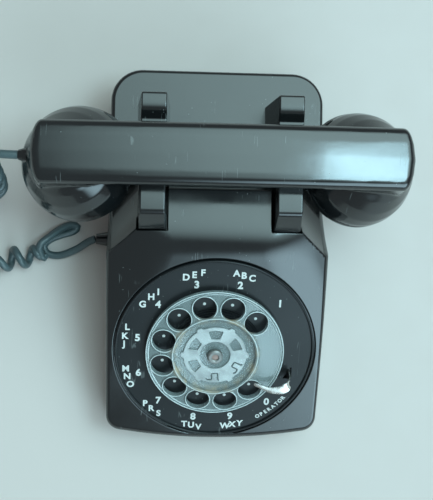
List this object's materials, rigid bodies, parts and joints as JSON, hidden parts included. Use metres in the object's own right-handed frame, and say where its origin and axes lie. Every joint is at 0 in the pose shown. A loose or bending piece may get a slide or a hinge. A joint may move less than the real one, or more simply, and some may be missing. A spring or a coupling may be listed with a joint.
{
  "type": "rotary wall telephone",
  "caption": "Wall telephone lying on its back: moulded housing, finger-wheel dial, sprung hook ears, bell inside, handset across the top and a coiled cord.",
  "frame": {"origin": "middle of the wall face of the body, on the plane of the wall", "axes": "+Z away from the wall, +Y up the wall, +X to the user's right"},
  "size_m": [0.3083, 0.222, 0.1216],
  "materials": {
    "housing_black": "glossy moulded, lightly scratched",
    "plate_black": "satin with white figures",
    "clear_plastic": "clear moulded plastic, slightly yellowed",
    "bright_steel": "bright nickel",
    "zinc_steel": "zinc plated",
    "brass": "machined",
    "gong_metal": "plated",
    "coil_tape": "varnished tape",
    "phenolic": "moulded phenolic",
    "capsule_grey": "satin",
    "cord_grey": "smooth vinyl jacket"
  },
  "bodies": {
    "base": {"back_plate": "zinc_steel", "case_screw": "zinc_steel", "clapper_pivot": "bright_steel", "cord_base_lead": "cord_grey", "cord_coil": "cord_grey", "cord_strain_relief": "housing_black", "dial_base": "zinc_steel", "dial_bracket_left": "zinc_steel", "dial_bracket_right": "zinc_steel", "dial_number_plate": "plate_black", "dial_screw_left": "zinc_steel", "dial_screw_right": "zinc_steel", "finger_stop": "bright_steel", "gong_left": "gong_metal", "gong_right": "gong_metal", "gong_screw_left": "zinc_steel", "gong_screw_right": "zinc_steel", "governor_cup": "zinc_steel", "hook_bracket": "zinc_steel", "hook_contact_springs": "phenolic", "hook_pivot_pin": "bright_steel", "hook_screw_left": "zinc_steel", "hook_screw_right": "zinc_steel", "hook_spring": "bright_steel", "housing": "housing_black", "line_terminal_block": "phenolic", "movement_plate": "zinc_steel", "network_block": "phenolic", "network_screw_left": "zinc_steel", "network_screw_right": "zinc_steel", "pulse_springs": "phenolic", "return_spring": "zinc_steel", "ringer_coil": "coil_tape", "ringer_frame": "zinc_steel"},
    "dial": {"finger_wheel": "clear_plastic", "card_cover": "clear_plastic", "wheel_clamp": "bright_steel", "dial_nut": "bright_steel", "dial_shaft": "zinc_steel", "drive_gear": "brass"},
    "pulse_train": {"pulse_pinion": "brass", "pulse_gear": "brass", "pulse_shaft": "zinc_steel", "pulse_cam": "phenolic"},
    "governor": {"governor_pinion": "brass", "governor_shaft": "zinc_steel", "governor_weights": "brass"},
    "hook": {"hook_lever": "zinc_steel", "hook_ear_left": "housing_black", "hook_ear_right": "housing_black"},
    "clapper": {"clapper_arm": "zinc_steel", "clapper_ball": "brass"},
    "handset": {"handset_handle": "housing_black", "receiver_cap": "housing_black", "transmitter_cap": "housing_black", "receiver_unit": "capsule_grey", "transmitter_unit": "capsule_grey", "transmitter_cup": "phenolic", "handset_ferrule": "housing_black", "cord_handset_lead": "cord_grey"}
  },
  "joints": [
    {"name": "dial_turn", "type": "hinge", "parent": "base", "child": "dial", "pos_m": [0, -0.0562, 0.05511], "axis": [0, 0.454, -0.891], "range_deg": [0, 325], "stiffness_Nm_per_rad": 0.004, "springref_deg": -114.59},
    {"name": "pulse_turn", "type": "hinge", "parent": "base", "child": "pulse_train", "pos_m": [-0.01973, -0.0626, 0.05185], "axis": [0, 0.454, -0.891], "range_deg": [-1950, 0]},
    {"name": "governor_turn", "type": "hinge", "parent": "base", "child": "governor", "pos_m": [-0.01373, -0.07186, 0.04713], "axis": [0, 0.454, -0.891], "range_deg": [0, 5850]},
    {"name": "handset_lift", "type": "slide", "parent": "base", "child": "handset", "axis": [0, 0, 1], "range_m": [0, 0.1]},
    {"name": "hook_swing", "type": "hinge", "parent": "base", "child": "hook", "pos_m": [0, 0.02681, 0.046], "axis": [-1, 0, 0], "range_deg": [0, 4.2]},
    {"name": "clapper_swing", "type": "hinge", "parent": "base", "child": "clapper", "pos_m": [0, 0.01482, 0.028], "axis": [0, 0, 1], "range_deg": [-6, 6], "stiffness_Nm_per_rad": 0.0002}
  ],
  "couplings": [
    {"joint": "pulse_turn", "follows": "dial_turn", "ratio": -6},
    {"joint": "governor_turn", "follows": "dial_turn", "ratio": 18},
    {"joint": "hook_swing", "follows": "handset_lift", "rad_per_m": 0.72}
  ]
}
